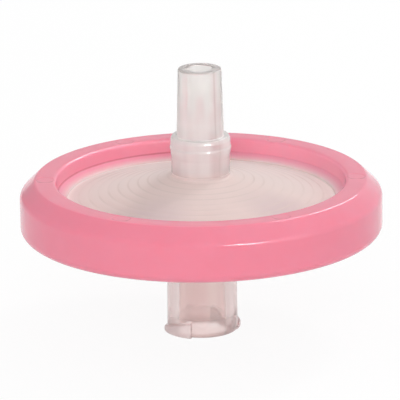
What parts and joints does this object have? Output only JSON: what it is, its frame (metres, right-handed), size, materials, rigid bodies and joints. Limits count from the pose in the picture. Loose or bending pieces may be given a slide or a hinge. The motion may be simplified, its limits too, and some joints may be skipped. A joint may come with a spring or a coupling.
{
  "type": "syringe filter",
  "caption": "Disc syringe filter: two clear conical plates pinch a membrane inside a pink moulded ring, with a female luer lock inlet below and a male luer slip outlet above.",
  "frame": {"origin": "centre of the inlet hub's mouth face, which is the lowest face of the filter", "axes": "+Z along the flow axis, from the inlet socket up to the outlet tip; -Y is the front, +X to the right seen from the front; the tall ends of the two lugs lie 72 degrees and 252 degrees from +X, anticlockwise seen from above"},
  "size_m": [0.033, 0.033, 0.0246],
  "materials": {
    "clear_plastic": "natural polypropylene, translucent and slightly milky, smooth gloss with faint flow lines",
    "pink_plastic": "pink polypropylene with some translucency, semi-gloss, fine moulding grain",
    "filter_paper": "matt white microporous membrane, very finely fibrous"
  },
  "bodies": {
    "root": {"outlet_housing": "clear_plastic", "inlet_housing": "clear_plastic", "membrane": "filter_paper", "seal_ring": "pink_plastic"}
  },
  "joints": []
}
